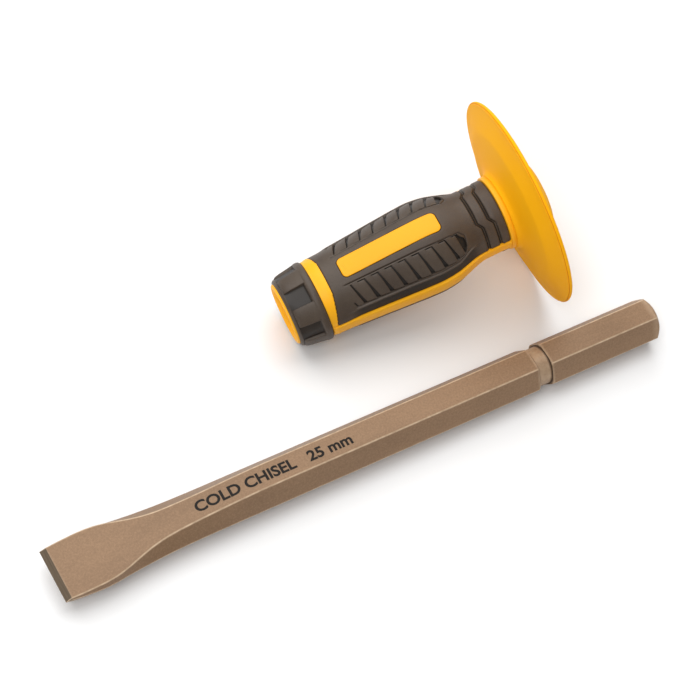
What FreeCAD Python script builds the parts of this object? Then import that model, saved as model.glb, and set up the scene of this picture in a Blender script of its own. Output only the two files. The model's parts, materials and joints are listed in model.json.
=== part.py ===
import FreeCAD, Part
import math
import os

V = FreeCAD.Vector
os.makedirs("parts", exist_ok=True)

# ---------------------------------------------------------------- chisel bar (row frame)
# Origin: middle of the bar's bottom flat.  +X runs along the bar to the struck face, +Z is up.
BAR_LENGTH = 300.0
ACROSS_FLATS = 19.0
EDGE_X = -BAR_LENGTH / 2.0           # cutting edge
HEAD_X = BAR_LENGTH / 2.0            # struck face
AXIS_Z = ACROSS_FLATS / 2.0          # bar lies on one flat
HEX_HALF_FLAT = ACROSS_FLATS / 2.0 / math.sqrt(3.0)      # half the width of one flat
HEX_CORNER = 2.0 * HEX_HALF_FLAT     # corner radius of the hexagon
EDGE_WIDTH = 25.0
BEVEL_LENGTH = 2.7                   # ground cutting bevel, about 61 degrees included
BEVEL_HALF_THICK = 1.6
TAPER_END = 92.0                     # forged taper meets the full hexagon here
NECK_START = 233.4                   # turned neck that the grip's ring snaps into
NECK_END = 240.6
NECK_R = 8.75
SHOULDER_CHAMFER = 0.5
HEAD_CHAMFER_R = 9.0                 # struck face is turned down to this radius
HEAD_CHAMFER_LENGTH = 1.6
# forged blade, stations from the cutting edge: (x, half width of the wide face, half width at mid height)
BLADE = [(BEVEL_LENGTH, 12.5, 12.7), (10.0, 12.8, 13.5), (17.0, 12.85, 13.9), (22.5, 12.5, 13.6),
         (27.5, 11.5, 13.0), (32.5, 10.0, 12.55), (38.0, 8.4, 12.1), (44.0, 7.0, 11.7), (51.0, 6.1, 11.35),
         (60.0, 5.7, 11.1), (74.0, HEX_HALF_FLAT, HEX_CORNER), (TAPER_END, HEX_HALF_FLAT, HEX_CORNER)]

# ---------------------------------------------------------------- grip (own frame: +Z axis, butt at 0)
# The label faces the grip's own +X.  Angles are degrees round the grip's axis.
BORE_R = 11.15                       # clears the corners of the hexagon
MOUTH_R = 12.2
MOUTH_DEPTH = 1.6
CORE_FLANGE_START = 104.5            # dark soft cover ends against the hub flange here
CORE_FLANGE_R = 17.4
SKIN = 1.9                           # thickness of the soft cover
RIB_HALF = 10.0                      # each yellow side rib spans this either side of 90 degrees
PANEL_HALF = 79.6                    # soft panels span this either side of their label
PANEL_BACK = 21.5                    # back edge of a panel behind its label
PANEL_BACK_SIDE = 18.7               # back edge of a panel at its sides
COLLAR_START = 1.1
COLLAR_END = 16.1
GUARD_START = 107.0
GUARD_R = 49.2
GUARD_PLANE = 118.0                  # station that RIM_X and RIM_Y place
LABEL_START = 29.1
LABEL_END = 76.9
LABEL_HALF_WIDTH = 4.85
LABEL_CORNER = 2.3
LABEL_PROUD = 0.15
RING_START = 109.6                   # snap ring seat inside the hub
RING_WIDTH = 6.2
RING_R_IN = 9.0
RING_R_OUT = 14.2
HUB_R = 15.6                         # core's hub inside the guard
HUB_SHELF = 3.2                      # wall of the hub that holds the snap ring
HUB_BORE_R = 11.6                    # hub and guard bore beyond the snap ring
CLEAR = 0.02                         # moulded parts touch but never share space

# outside of the soft cover and the collar: (distance from the butt, radius)
SKIN_PROFILE = [(PANEL_BACK_SIDE - 1.5, 18.05), (24.0, 18.25), (29.0, 18.55), (35.0, 18.95), (42.0, 19.45),
                (49.0, 20.0), (56.0, 20.5), (62.5, 20.95), (69.0, 21.2), (73.5, 20.9), (77.5, 20.3),
                (81.5, 19.2), (85.0, 18.1), (88.5, 17.1), (91.5, 16.6), (97.5, 16.5),
                (CORE_FLANGE_START, 16.5)]
COLLAR_PROFILE = [(COLLAR_START, 14.9), (2.2, 16.1), (4.2, 17.0), (9.0, 17.7), (12.4, 18.2),
                  (13.6, 18.65), (15.0, 18.6), (COLLAR_END, 17.7)]

# guard outside, handle side first: (distance from the butt, radius)
GUARD_BACK = [(GUARD_START, 17.4), (107.5, 18.6), (108.5, 20.6), (109.8, 23.2), (111.0, 26.5), (111.8, 30.0),
              (112.25, 33.5), (112.8, 36.5), (113.7, 40.0), (114.85, 44.5), (115.35, 46.8)]
LIP_PLANE = 116.65                   # station of the rolled rim's rounding
LIP_ROUND = 1.1                      # radius of that rounding
GUARD_FRONT = [(117.75, 46.0), (117.6, 42.5), (117.65, 38.0), (118.2, 32.0), (119.7, 27.0), (122.1, 23.0),
               (124.0, 20.0), (125.25, 17.2)]
BOSS_TOP = 126.4
BOSS_TOP_R = 14.4
BOSS_EDGE = (125.97, 15.9)            # middle of the boss's rounded edge

# ---------------------------------------------------------------- how the grip lies beside the bar
GRIP_AZIMUTH = -3.8                  # turned from the bar's direction
GRIP_ROLL = -2.0                     # label leans this far towards the bar
RIM_X = 107.95                       # middle of the guard's rim, seen from above
RIM_Y = 60.55
TILT_EASE = 0.002                    # radians, keeps the rounded collar just above the surface
FLOOR_GAP = 0.05                     # the rim's lowest point stands this far above the surface


def axis_point(a, r):
    """Point of a profile in the grip's own frame, drawn in its X-Z half plane."""
    return V(r, 0, a)


def spline_edges(points):
    """One smooth curve through profile points."""
    curve = Part.BSplineCurve()
    curve.interpolate([axis_point(a, r) for a, r in points])
    return [curve.toShape()]


def line_edges(points):
    """Straight runs through profile points."""
    vs = [axis_point(a, r) for a, r in points]
    return [Part.makeLine(vs[i], vs[i + 1]) for i in range(len(vs) - 1)]


def revolve(edges, start=-180.0, sweep=360.0):
    """Turn a closed profile round the grip's axis, from one angle through a sweep."""
    face = Part.Face(Part.Wire(edges))
    solid = face.revolve(V(0, 0, 0), V(0, 0, 1), sweep)
    solid.rotate(V(0, 0, 0), V(0, 0, 1), start)
    return solid


def tube(a0, a1, r_in, r_out):
    """Plain ring between two stations."""
    ring = Part.makeCylinder(r_out, a1 - a0, V(0, 0, a0)).cut(Part.makeCylinder(r_in, a1 - a0, V(0, 0, a0)))
    return ring


def wedge(centre, half, z0, z1, radius=60.0):
    """Solid slice of the space round the axis, used to cut pieces to an arc."""
    profile = [(z0, 0.0), (z1, 0.0), (z1, radius), (z0, radius), (z0, 0.0)]
    return revolve(line_edges(profile), centre - half, 2.0 * half)


def shell(points, thickness):
    """Closed profile edges: a smooth outside and the same curve moved in by the thickness."""
    inner = [(a, r - thickness) for a, r in points]
    outside, inside = spline_edges(points), spline_edges(inner)
    ends = [Part.makeLine(axis_point(*points[0]), axis_point(*inner[0])),
            Part.makeLine(axis_point(*points[-1]), axis_point(*inner[-1]))]
    return Part.__sortEdges__(outside + [ends[1]] + inside + [ends[0]])


def hexagon(x, half_wide, half_mid, half_thick):
    """Six-cornered section of the bar at one station, flat side down."""
    pts = [(-half_mid, 0), (-half_wide, -half_thick), (half_wide, -half_thick), (half_mid, 0),
           (half_wide, half_thick), (-half_wide, half_thick)]
    vs = [V(x, y, AXIS_Z + z) for y, z in pts]
    return Part.makePolygon(vs + [vs[0]])


def half_thickness(distance):
    """Half the bar's thickness at a distance from the cutting edge."""
    run = min(1.0, max(0.0, (distance - BEVEL_LENGTH) / (TAPER_END - BEVEL_LENGTH)))
    return BEVEL_HALF_THICK + (ACROSS_FLATS / 2.0 - BEVEL_HALF_THICK) * run


def chisel_bar():
    """Forged bar: cutting bevel, flared blade, hexagon, turned neck and struck head."""
    sections = [hexagon(EDGE_X + d, w, m, half_thickness(d)) for d, w, m in BLADE]
    blade = Part.makeLoft(sections, True, False)
    edge_half = EDGE_WIDTH / 2.0
    bevel = Part.makeLoft([hexagon(EDGE_X, edge_half - 0.05, edge_half, 0.05), sections[0]], True, True)
    start = EDGE_X + TAPER_END
    body = Part.Face(hexagon(start, HEX_HALF_FLAT, HEX_CORNER, ACROSS_FLATS / 2.0)).extrude(
        V(HEAD_X - start, 0, 0))
    bar = blade.fuse([bevel, body]).removeSplitter()
    neck = Part.makeCylinder(40, NECK_END - NECK_START, V(EDGE_X + NECK_START, 0, AXIS_Z), V(1, 0, 0))
    neck = neck.cut(Part.makeCylinder(NECK_R, NECK_END - NECK_START, V(EDGE_X + NECK_START, 0, AXIS_Z),
                                      V(1, 0, 0)))
    bar = bar.cut(neck)
    # corners turned off at the shoulders of the neck and at the struck face
    turned = [(EDGE_X + NECK_START, -1, HEX_CORNER - SHOULDER_CHAMFER, SHOULDER_CHAMFER * 1.6),
              (EDGE_X + NECK_END, 1, HEX_CORNER - SHOULDER_CHAMFER, SHOULDER_CHAMFER * 1.6),
              (HEAD_X, -1, HEAD_CHAMFER_R, HEAD_CHAMFER_LENGTH)]
    for x, way, r, length in turned:
        cone = Part.makeCone(r, r + 3.0 * length, 3.0 * length, V(x, 0, AXIS_Z), V(way, 0, 0))
        if r == HEAD_CHAMFER_R:
            cone = Part.makeCone(r, r + 4.0 * (HEX_CORNER - r), 4.0 * length, V(x, 0, AXIS_Z), V(way, 0, 0))
        reach = cone.BoundBox.XLength
        block = Part.makeCylinder(30, reach, V(x, 0, AXIS_Z), V(way, 0, 0))
        bar = bar.cut(block.cut(cone))
    return bar


def core():
    """Hard yellow inner moulding: tube, side ribs, collar band and hub flange."""
    seat = SKIN + CLEAR
    under = [(a, r - seat) for a, r in SKIN_PROFILE]
    band = [(COLLAR_END + CLEAR, 17.8), (18.0, 18.0), (PANEL_BACK, 18.2)]
    edges = line_edges([(0.0, MOUTH_R), (0.0, 13.6), (0.6, 14.3), (COLLAR_START - CLEAR, 14.4),
                        (COLLAR_START - CLEAR, 13.0), (COLLAR_END + CLEAR, 13.0), (COLLAR_END + CLEAR, 15.0),
                        under[0]])
    edges += spline_edges(under)
    a_end = CORE_FLANGE_START
    hub_end = GUARD_START - CLEAR
    seat_start, seat_end = RING_START - CLEAR, RING_START + RING_WIDTH + CLEAR
    shelf_end = RING_START + RING_WIDTH + HUB_SHELF
    rest = [under[-1], (a_end, CORE_FLANGE_R), (hub_end, CORE_FLANGE_R), (hub_end, HUB_R),
            (shelf_end, HUB_R), (shelf_end, HUB_BORE_R), (seat_end, HUB_BORE_R),
            (seat_end, RING_R_OUT + CLEAR), (seat_start, RING_R_OUT + CLEAR), (seat_start, BORE_R),
            (MOUTH_DEPTH, BORE_R), (0.0, MOUTH_R)]
    edges += line_edges(rest)
    body_edges = Part.__sortEdges__(edges)
    band_edges = spline_edges(band)
    band_edges += line_edges([band[-1], (PANEL_BACK, 13.5), (COLLAR_END + CLEAR, 13.5), band[0]])
    body = revolve(body_edges).fuse(revolve(Part.__sortEdges__(band_edges)))
    # side ribs stand a little proud of the soft panels they separate
    proud = 0.55
    outer = [(a, r + proud) for a, r in SKIN_PROFILE[1:]]
    outer = [(COLLAR_END + 3.0, 18.1)] + outer[:-1] + [(CORE_FLANGE_START, 17.2)]
    inner = [(a, r - 3.2) for a, r in outer]
    rib_edges = spline_edges(outer) + spline_edges(inner)
    rib_edges += [Part.makeLine(axis_point(*outer[i]), axis_point(*inner[i])) for i in (0, -1)]
    for centre in (90.0, -90.0):
        body = body.fuse(revolve(Part.__sortEdges__(rib_edges), centre - RIB_HALF, 2.0 * RIB_HALF))
    # panels run further back at their sides than behind the label
    for side in (0.0, 180.0):
        for way in (-1.0, 1.0):
            centre = side + way * (28.0 + PANEL_HALF) / 2.0
            half = (PANEL_HALF - 28.0) / 2.0 + 0.3
            pocket = tube(PANEL_BACK_SIDE + 0.2, PANEL_BACK + 0.1, 16.0, 24.0)
            cut = pocket.common(wedge(centre, half, 10.0, 40.0))
            body = body.cut(cut)
    return body.removeSplitter()


def panel(side):
    """Soft cover over one half of the handle, with a window for its label."""
    full = revolve(shell(SKIN_PROFILE, SKIN), side - PANEL_HALF, 2.0 * PANEL_HALF)
    back = tube(0.0, PANEL_BACK + 0.05, 10.0, 24.0)
    full = full.cut(back.common(wedge(side, 28.5, 0.0, 40.0)))
    full = full.cut(tube(0.0, PANEL_BACK_SIDE + 0.25, 10.0, 24.0))
    return full.cut(label_prism(side, CLEAR, 10.0, 40.0)).removeSplitter()


def label_prism(side, grow, r_in, r_out):
    """Rounded rectangle standing out from the grip's axis on one side."""
    h, c = LABEL_HALF_WIDTH + grow, LABEL_CORNER + grow
    a0, a1 = LABEL_START - grow, LABEL_END + grow
    block = Part.makeBox(r_out - r_in, 2.0 * h, a1 - a0, V(r_in, -h, a0))
    corners = []
    for edge in block.Edges:
        first, last = edge.Vertexes[0].Point, edge.Vertexes[1].Point
        if abs(first.y - last.y) < 1e-6 and abs(first.z - last.z) < 1e-6:
            corners.append(edge)
    block = block.makeFillet(c, corners)
    block.rotate(V(0, 0, 0), V(0, 0, 1), side)
    return block


def label_pad(side):
    """Smooth blank pad that fills a panel's window."""
    profile = [(a, r + LABEL_PROUD) for a, r in SKIN_PROFILE]
    skin = revolve(shell(profile, SKIN + LABEL_PROUD), side - 30.0, 60.0)
    return skin.common(label_prism(side, 0.0, 10.0, 40.0))


def collar():
    """Soft butt collar with raised blocks and a lip."""
    edges = spline_edges(COLLAR_PROFILE[:5]) + spline_edges(COLLAR_PROFILE[4:])
    inner = 13.0 + CLEAR
    edges += line_edges([COLLAR_PROFILE[-1], (COLLAR_END, inner), (COLLAR_START, inner), COLLAR_PROFILE[0]])
    ring = revolve(Part.__sortEdges__(edges))
    for n in range(6):
        angle = 9.5 + 60.0 * n
        recess = revolve(line_edges([(4.4, 16.35), (12.2, 17.5), (12.2, 22.0), (4.4, 22.0), (4.4, 16.35)]),
                         angle - 15.0, 30.0)
        ring = ring.cut(recess)
    return ring


def lip_point(degrees):
    """Point on the round rim of the guard; 90 degrees is its widest point, 0 degrees faces the struck end."""
    turn = math.radians(degrees)
    return LIP_PLANE + LIP_ROUND * math.cos(turn), GUARD_R - LIP_ROUND + LIP_ROUND * math.sin(turn)


def guard():
    """Round hand guard: shallow dish, thick rolled rim and a domed boss in the middle."""
    lip_back, lip_top, lip_front = lip_point(150.0), lip_point(90.0), lip_point(-12.0)
    edges = spline_edges(GUARD_BACK + [lip_back])
    edges += [Part.Arc(axis_point(*lip_back), axis_point(*lip_top), axis_point(*lip_front)).toShape()]
    edges += spline_edges([lip_front] + GUARD_FRONT)
    edges += [Part.Arc(axis_point(*GUARD_FRONT[-1]), axis_point(*BOSS_EDGE),
                       axis_point(BOSS_TOP, BOSS_TOP_R)).toShape()]
    hub_end = RING_START + RING_WIDTH + HUB_SHELF + CLEAR
    edges += line_edges([(BOSS_TOP, BOSS_TOP_R), (BOSS_TOP, HUB_BORE_R + 1.2), (BOSS_TOP - 1.2, HUB_BORE_R),
                         (hub_end, HUB_BORE_R), (hub_end, HUB_R + CLEAR), (GUARD_START, HUB_R + CLEAR),
                         GUARD_BACK[0]])
    return revolve(Part.__sortEdges__(edges))


def ring():
    """Elastic ring that snaps into the bar's turned neck."""
    mid = RING_START + RING_WIDTH / 2.0
    edges = line_edges([(RING_START, RING_R_IN + 1.4), (RING_START, RING_R_OUT),
                        (RING_START + RING_WIDTH, RING_R_OUT), (RING_START + RING_WIDTH, RING_R_IN + 1.4)])
    edges += [Part.Arc(axis_point(RING_START + RING_WIDTH, RING_R_IN + 1.4), axis_point(mid, RING_R_IN),
                       axis_point(RING_START, RING_R_IN + 1.4)).toShape()]
    return revolve(Part.__sortEdges__(edges))


def lay_down(shape):
    """Put a grip piece where the grip lies: resting on the guard's rim and the collar."""
    lip_centre_r = GUARD_R - LIP_ROUND
    tilts = [math.atan2(lip_centre_r - r, LIP_PLANE - a)
             + math.asin(LIP_ROUND / math.hypot(lip_centre_r - r, LIP_PLANE - a)) for a, r in COLLAR_PROFILE]
    tilt = min(tilts) - TILT_EASE
    az = math.radians(GRIP_AZIMUTH)
    along = V(math.cos(tilt) * math.cos(az), math.cos(tilt) * math.sin(az), math.sin(tilt))
    side = V(-math.sin(az), math.cos(az), 0.0)
    up = along.cross(side)
    roll = math.radians(GRIP_ROLL)
    label = up * math.cos(roll) + side * math.sin(roll)
    third = along.cross(label)
    rim_height = lip_centre_r * math.cos(tilt) - (LIP_PLANE - GUARD_PLANE) * math.sin(tilt)
    rim_height += LIP_ROUND + FLOOR_GAP
    rim = V(RIM_X, RIM_Y, rim_height)
    butt = rim - along * GUARD_PLANE
    m = FreeCAD.Matrix(label.x, third.x, along.x, butt.x, label.y, third.y, along.y, butt.y,
                       label.z, third.z, along.z, butt.z, 0, 0, 0, 1)
    return placed(shape, m)


def placed(shape, matrix):
    """Move a shape rigidly without changing its curves."""
    out = shape.copy()
    out.Placement = FreeCAD.Placement(matrix).multiply(out.Placement)
    return out


NODES = {
    "chisel_bar": chisel_bar(),
    "grip_core": lay_down(core()),
    "front_panel": lay_down(panel(0.0)),
    "rear_panel": lay_down(panel(180.0)),
    "front_label_pad": lay_down(label_pad(0.0)),
    "rear_label_pad": lay_down(label_pad(180.0)),
    "butt_collar": lay_down(collar()),
    "guard": lay_down(guard()),
    "retaining_ring": lay_down(ring()),
}
for name, shape in NODES.items():
    if not shape.isValid() or len(shape.Solids) != 1:
        print("CHECK", name, shape.isValid(), len(shape.Solids))
    shape.exportStep("parts/%s.step" % name)
    b = shape.optimalBoundingBox()
    print(name, round(shape.Volume), [round(v, 2) for v in (b.XMin, b.XMax, b.YMin, b.YMax, b.ZMin, b.ZMax)])
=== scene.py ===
"""Cold chisel and its pull-off guarded grip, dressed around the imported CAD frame."""

import json
import logging
import math
from dataclasses import dataclass, field
from enum import Enum
from typing import Any, Callable, Sequence

import bmesh
import bpy
import numpy as np
from mathutils import Matrix, Vector

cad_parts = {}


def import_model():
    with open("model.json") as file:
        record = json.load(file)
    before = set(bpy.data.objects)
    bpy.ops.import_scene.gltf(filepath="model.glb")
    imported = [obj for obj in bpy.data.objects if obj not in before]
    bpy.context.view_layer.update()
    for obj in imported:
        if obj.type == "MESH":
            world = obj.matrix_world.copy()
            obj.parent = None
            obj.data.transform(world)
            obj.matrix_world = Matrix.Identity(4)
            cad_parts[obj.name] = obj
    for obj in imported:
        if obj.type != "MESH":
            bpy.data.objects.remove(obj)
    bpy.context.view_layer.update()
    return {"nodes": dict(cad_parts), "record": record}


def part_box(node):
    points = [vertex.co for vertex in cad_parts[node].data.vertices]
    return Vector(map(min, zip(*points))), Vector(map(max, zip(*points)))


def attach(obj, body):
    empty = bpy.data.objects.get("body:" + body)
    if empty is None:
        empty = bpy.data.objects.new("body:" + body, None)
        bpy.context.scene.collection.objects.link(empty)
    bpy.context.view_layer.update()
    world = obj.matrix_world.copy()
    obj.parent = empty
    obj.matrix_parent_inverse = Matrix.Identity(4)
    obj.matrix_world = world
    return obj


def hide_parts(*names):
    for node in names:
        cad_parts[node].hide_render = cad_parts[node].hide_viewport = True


LOG = logging.getLogger("cold_chisel")
MM = 0.001
Colour = tuple[float, float, float]
Profile = tuple[tuple[float, float], ...]
Shape = tuple[np.ndarray, list[list[int]]]


# ------------------------------------------------------------------ small shared helpers


class Body(Enum):
    """The two rigid bodies of the tool."""

    CHISEL = "chisel"
    GRIP = "grip"


def srgb(red: int, green: int, blue: int) -> Colour:
    """Turn an 8-bit display colour into a linear one.

    Args:
        red: Red, 0 to 255.
        green: Green, 0 to 255.
        blue: Blue, 0 to 255.

    Returns:
        The linear colour.
    """
    parts = (red / 255.0, green / 255.0, blue / 255.0)
    return tuple(c / 12.92 if c <= 0.04045 else ((c + 0.055) / 1.055) ** 2.4 for c in parts)


def smoothstep(low: Any, high: Any, value: np.ndarray) -> np.ndarray:
    """Ease from 0 at low to 1 at high, which may be the smaller of the two.

    Args:
        low: Where the ease starts.
        high: Where it ends.
        value: What is eased.

    Returns:
        Values from 0 to 1.
    """
    t = np.clip((np.asarray(value, float) - low) / (high - low), 0.0, 1.0)
    return t * t * (3.0 - 2.0 * t)


def bell(offset: np.ndarray, width: float) -> np.ndarray:
    """Rise to 1 where the offset is 0 and fall away on both sides.

    Args:
        offset: Distances from the middle.
        width: The distance at which about a third is left.

    Returns:
        Values from 0 to 1.
    """
    return np.exp(-(offset / width) ** 2)


def span(value: np.ndarray, start: Any, full: Any, full_end: Any, end: Any) -> np.ndarray:
    """Give 1 along a stretch and 0 outside it, with eased ends.

    Args:
        value: Where it is read.
        start: Where it starts to rise.
        full: Where it reaches 1.
        full_end: Where it starts to fall.
        end: Where it is 0 again.

    Returns:
        Values from 0 to 1.
    """
    return smoothstep(start, full, value) * smoothstep(end, full_end, value)


def follow(table: Sequence[tuple[float, float]], at: np.ndarray) -> np.ndarray:
    """Read a smooth monotone curve through a short table.

    Args:
        table: Pairs of position and value, in rising order of position.
        at: Positions to read.

    Returns:
        The curve's values, held level past both ends.
    """
    x = np.array([p[0] for p in table], float)
    y = np.array([p[1] for p in table], float)
    run = np.diff(x)
    rise = np.diff(y) / run
    slope = np.zeros_like(y)
    slope[0], slope[-1] = rise[0], rise[-1]
    for i in range(1, len(y) - 1):
        if rise[i - 1] * rise[i] > 0.0:
            a, b = 2.0 * run[i] + run[i - 1], run[i] + 2.0 * run[i - 1]
            slope[i] = (a + b) / (a / rise[i - 1] + b / rise[i])
    at = np.clip(np.asarray(at, float), x[0], x[-1])
    k = np.clip(np.searchsorted(x, at, side="right") - 1, 0, len(run) - 1)
    t = (at - x[k]) / run[k]
    h00, h10 = (1 + 2 * t) * (1 - t) ** 2, t * (1 - t) ** 2
    h01, h11 = t * t * (3 - 2 * t), t * t * (t - 1)
    return h00 * y[k] + h10 * run[k] * slope[k] + h01 * y[k + 1] + h11 * run[k] * slope[k + 1]


def grid_faces(rows: int, columns: int, wrap: bool) -> np.ndarray:
    """List the quads of a grid of points, facing outwards for rows along +axis and columns anticlockwise.

    Args:
        rows: Points along the first direction.
        columns: Points along the second direction.
        wrap: Whether the last column joins the first.

    Returns:
        Corner numbers, four to a quad.
    """
    r = np.arange(rows - 1)[:, None]
    c = np.arange(columns if wrap else columns - 1)[None, :]
    n = (c + 1) % columns
    quads = np.stack([r * columns + c, r * columns + n, (r + 1) * columns + n, (r + 1) * columns + c], -1)
    return quads.reshape(-1, 4)


def kept_lines(count: int, spacing: int) -> list[int]:
    """Choose evenly spaced grid lines, the first and the last among them.

    Args:
        count: Lines in the fine grid.
        spacing: Fine lines to each chosen one.

    Returns:
        Numbers of the chosen lines.
    """
    return list(range(0, count - 1, spacing)) + [count - 1]


def closed_patch(rows: int, columns: int, spacing: int = 1) -> list[list[int]]:
    """List the faces of a thick patch: an outer grid, an inner grid stored after it, and the rim between.

    Args:
        rows: Outer points along the first direction.
        columns: Outer points along the second direction.
        spacing: Outer lines to each line of the inner grid.

    Returns:
        Corner numbers of each face.
    """
    kept_rows, kept_columns = kept_lines(rows, spacing), kept_lines(columns, spacing)
    count, wide, tall = rows * columns, len(kept_columns), len(kept_rows)
    faces = grid_faces(rows, columns, False).tolist()
    faces += (grid_faces(tall, wide, False)[:, ::-1] + count).tolist()
    inner_end, outer_end = count + (tall - 1) * wide, (rows - 1) * columns
    for i, (low, high) in enumerate(zip(kept_columns, kept_columns[1:])):
        first = list(range(low, high + 1))
        faces.append(first[::-1] + [count + i, count + i + 1])
        faces.append([outer_end + c for c in first] + [inner_end + i + 1, inner_end + i])
    for i, (low, high) in enumerate(zip(kept_rows, kept_rows[1:])):
        left = [r * columns for r in range(low, high + 1)]
        right = [start + columns - 1 for start in left]
        faces.append(left + [count + (i + 1) * wide, count + i * wide])
        faces.append(right[::-1] + [count + i * wide + wide - 1, count + (i + 1) * wide + wide - 1])
    return faces


def make_piece(name: str, points: np.ndarray, faces: Sequence[Sequence[int]],
               smooth: bool = True) -> bpy.types.Object:
    """Make one mesh piece whose place is in its mesh.

    Args:
        name: The piece's name.
        points: Corner positions in metres, in the row frame.
        faces: Corner numbers of each face.
        smooth: Whether its faces are shaded smooth.

    Returns:
        The new object, linked to the scene.
    """
    mesh = bpy.data.meshes.new(name)
    mesh.from_pydata(np.asarray(points, float).tolist(), [], [list(map(int, f)) for f in faces])
    mesh.validate()
    mesh.polygons.foreach_set("use_smooth", [smooth] * len(mesh.polygons))
    obj = bpy.data.objects.new(name, mesh)
    bpy.context.scene.collection.objects.link(obj)
    return obj


def add_attribute(obj: bpy.types.Object, name: str, values: np.ndarray) -> None:
    """Store one number per corner point under a name.

    Args:
        obj: The piece.
        name: The attribute's name.
        values: One number for each point.
    """
    layer = obj.data.attributes.new(name, "FLOAT", "POINT")
    layer.data.foreach_set("value", np.asarray(values, np.float32).ravel())


def take_mesh(source: bpy.types.Object) -> Shape:
    """Read the final mesh of an object and remove the object.

    Args:
        source: A text or the holder of a node tree, linked to the scene.

    Returns:
        Its points and faces.
    """
    bpy.context.view_layer.update()
    mesh = bpy.data.meshes.new_from_object(source.evaluated_get(bpy.context.evaluated_depsgraph_get()))
    bpy.data.objects.remove(source)
    shape = np.array([v.co[:] for v in mesh.vertices]), [list(p.vertices) for p in mesh.polygons]
    bpy.data.meshes.remove(mesh)
    return shape


def tidy_shell(obj: bpy.types.Object) -> None:
    """Merge doubled points and turn every face outwards.

    Args:
        obj: A closed piece.
    """
    near = 1e-6
    shell = bmesh.new()
    shell.from_mesh(obj.data)
    bmesh.ops.remove_doubles(shell, verts=shell.verts, dist=near)
    bmesh.ops.dissolve_degenerate(shell, edges=shell.edges, dist=near)
    bmesh.ops.recalc_face_normals(shell, faces=shell.faces)
    shell.to_mesh(obj.data)
    shell.free()
    obj.data.polygons.foreach_set("use_smooth", [True] * len(obj.data.polygons))


def dress(obj: bpy.types.Object, material: bpy.types.Material, slot: str, crease: float, *replaced: str,
          body: Body = Body.GRIP) -> None:
    """Give a piece its finish, its creases, its body and the CAD nodes it stands for.

    Args:
        obj: The piece.
        material: Its finish.
        slot: The record's material slot; not used.
        crease: The smallest angle that stays crisp under smooth shading, in degrees.
        replaced: CAD nodes that it stands for.
        body: The body it moves with.
    """
    obj.data.set_sharp_from_angle(angle=math.radians(crease))
    obj.data.materials.append(material)
    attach(obj, body.value)
    if replaced:
        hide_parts(*replaced)
    LOG.info("%s: %d points", obj.name, len(obj.data.vertices))


# ------------------------------------------------------------------ finishes


class NodeBuilder:
    """Short ways to add and join the nodes of one tree."""

    def __init__(self, tree: bpy.types.NodeTree) -> None:
        """Keep the tree.

        Args:
            tree: The tree that the nodes go into.
        """
        self.tree = tree

    def join(self, value: Any, socket: bpy.types.NodeSocket) -> None:
        """Feed a socket from another socket or from a constant.

        Args:
            value: An output socket, a number or a tuple.
            socket: The input that takes it.
        """
        if isinstance(value, bpy.types.NodeSocket):
            self.tree.links.new(value, socket)
        else:
            socket.default_value = value

    def node(self, kind: str, inputs: dict[Any, Any] | None = None, **settings: Any) -> bpy.types.Node:
        """Add a node, its settings and its inputs.

        Args:
            kind: The node's type.
            inputs: Input names or numbers and what feeds them.
            settings: Properties of the node itself.

        Returns:
            The node.
        """
        made = self.tree.nodes.new(kind)
        for key, value in settings.items():
            setattr(made, key, value)
        for key, value in (inputs or {}).items():
            self.join(value, made.inputs[key])
        return made

    def math(self, operation: str, *values: Any) -> bpy.types.NodeSocket:
        """Add one arithmetic step.

        Args:
            operation: Blender's name for it.
            values: Numbers or sockets.

        Returns:
            The result.
        """
        return self.node("ShaderNodeMath", dict(enumerate(values)), operation=operation).outputs[0]


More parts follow.
